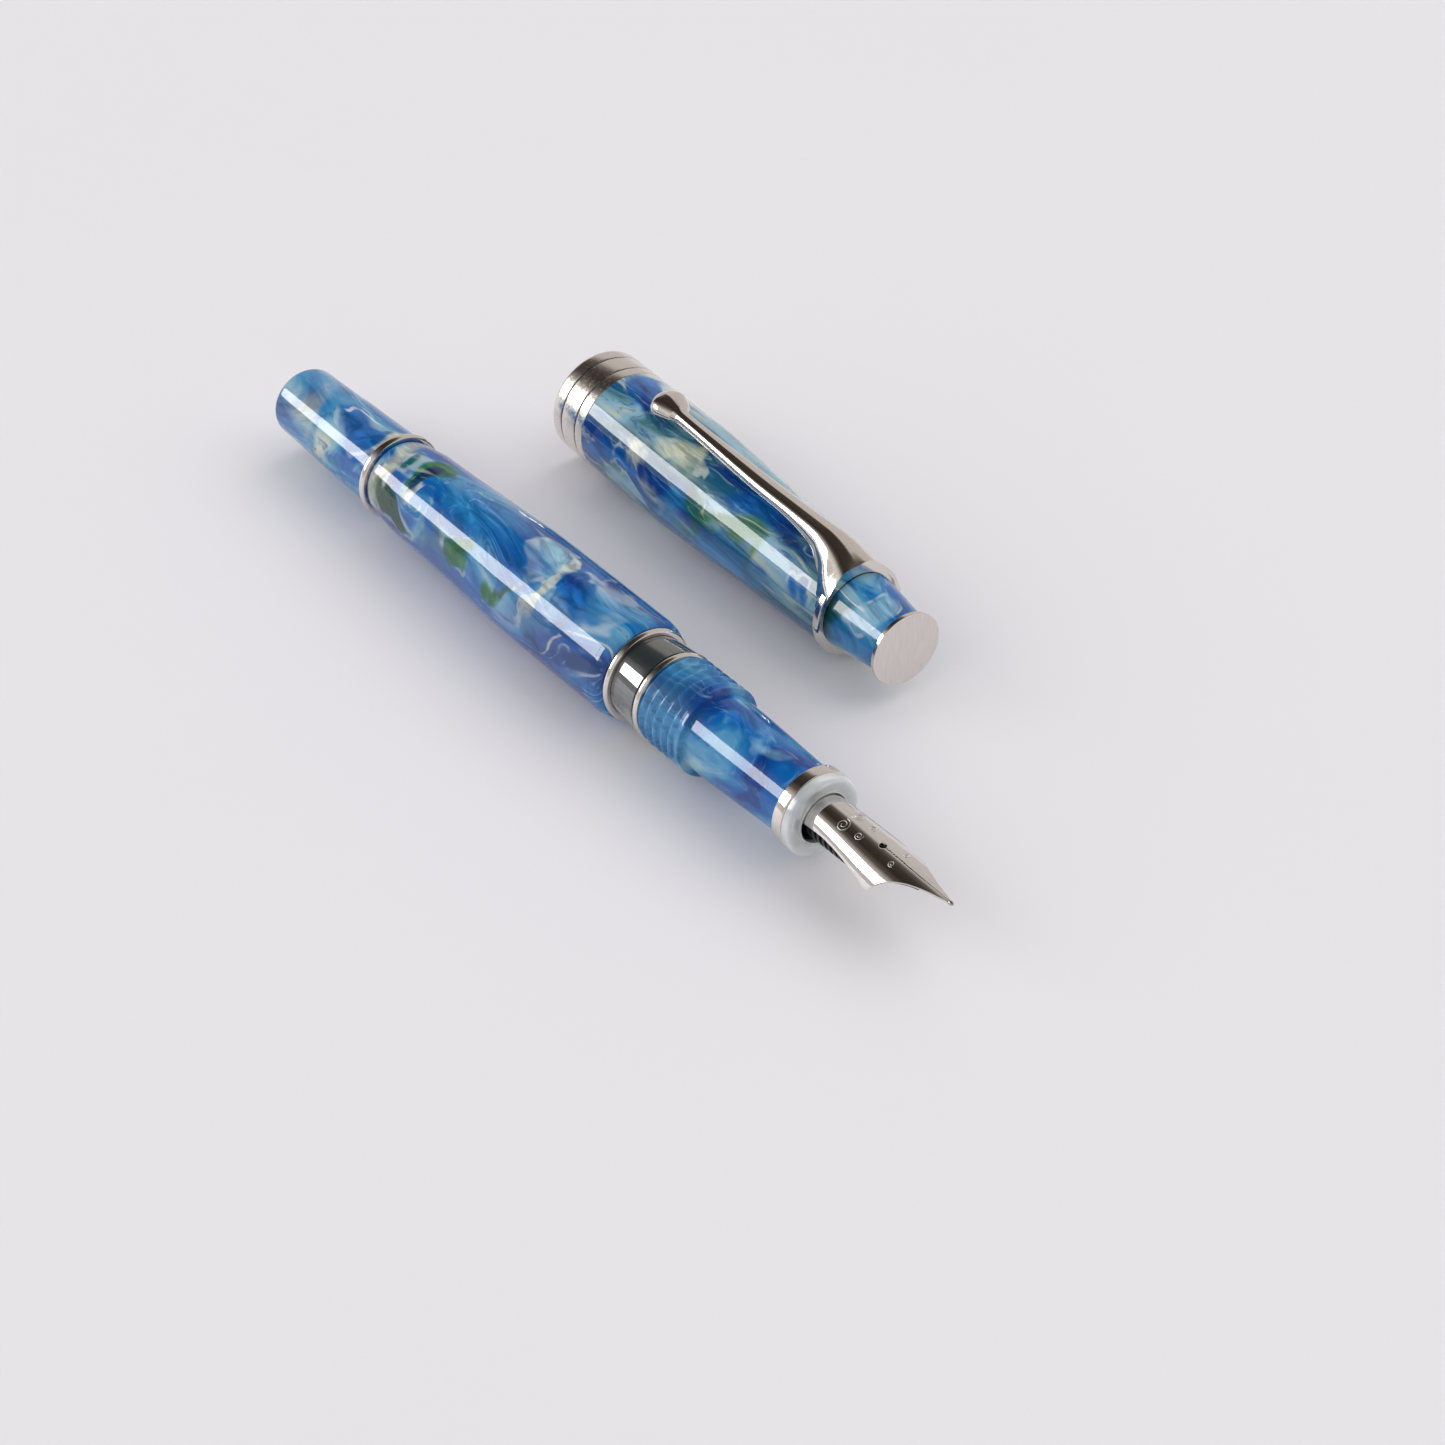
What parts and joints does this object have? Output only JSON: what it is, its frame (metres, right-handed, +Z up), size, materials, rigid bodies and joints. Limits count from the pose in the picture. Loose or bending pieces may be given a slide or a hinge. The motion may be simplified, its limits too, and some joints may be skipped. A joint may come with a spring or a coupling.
{
  "type": "fountain pen",
  "caption": "Piston-filling fountain pen in swirled resin with metal trim and a clear ink window, uncapped, with its clipped screw cap lying beside it.",
  "frame": {"origin": "bottom centre of the box round the pen and its cap, on the surface they lie on", "axes": "+X along the pen from the turning knob to the nib, +Z up, the cap lies on the +Y side"},
  "size_m": [0.1326, 0.0452, 0.0183],
  "materials": {
    "swirled_resin": "polished swirled resin, blue, cream and green",
    "polished_nickel": "polished",
    "brushed_nickel": "fine straight grain",
    "nib_steel": "polished",
    "nib_point": "satin ball",
    "clear_window": "polished clear resin, slightly smoky",
    "milky_lip": "translucent, satin gloss",
    "black_plastic": "moulded",
    "seal_rubber": "matte",
    "white_plastic": "moulded",
    "brass": "machined"
  },
  "bodies": {
    "pen": {"barrel": "swirled_resin", "barrel_end_ring": "polished_nickel", "guide_sleeve": "white_plastic", "sleeve_seal": "seal_rubber", "window_rear_ring": "polished_nickel", "ink_window": "clear_window", "window_front_ring": "polished_nickel", "section": "swirled_resin", "section_ring": "polished_nickel", "section_lip": "milky_lip", "nib_collar": "black_plastic", "feed": "black_plastic", "nib": "nib_steel", "nib_tipping": "nib_point"},
    "knob": {"knob": "swirled_resin", "lead_screw": "brass"},
    "piston": {"piston_rod": "white_plastic", "piston_head": "seal_rubber"},
    "cap": {"cap_tube": "swirled_resin", "inner_cap": "black_plastic", "cap_rear_band": "polished_nickel", "cap_centre_band": "polished_nickel", "cap_mouth_band": "polished_nickel", "finial": "swirled_resin", "finial_disc": "brushed_nickel", "finial_stud": "brass", "clip_ring": "polished_nickel"},
    "clip": {"clip_arm": "polished_nickel"}
  },
  "joints": [
    {"name": "knob_turn", "type": "hinge", "parent": "pen", "child": "knob", "pos_m": [-0.0492, -0.01578, 0.00682], "axis": [1, 0, 0], "range_deg": [0, 2520]},
    {"name": "piston_slide", "type": "slide", "parent": "pen", "child": "piston", "axis": [1, 0, 0], "range_m": [0, 0.0211]},
    {"name": "cap_slide", "type": "slide", "parent": "pen", "child": "cap", "axis": [0.9985, -0.0551, 0], "range_m": [0, 0.11]},
    {"name": "clip_flex", "type": "hinge", "parent": "cap", "child": "clip", "pos_m": [0.01597, 0.01141, 0.01367], "axis": [0.0548, 0.993, 0.1045], "range_deg": [0, 4], "stiffness_Nm_per_rad": 2}
  ],
  "couplings": [
    {"joint": "piston_slide", "follows": "knob_turn", "m_per_rad": 0.00047746}
  ]
}
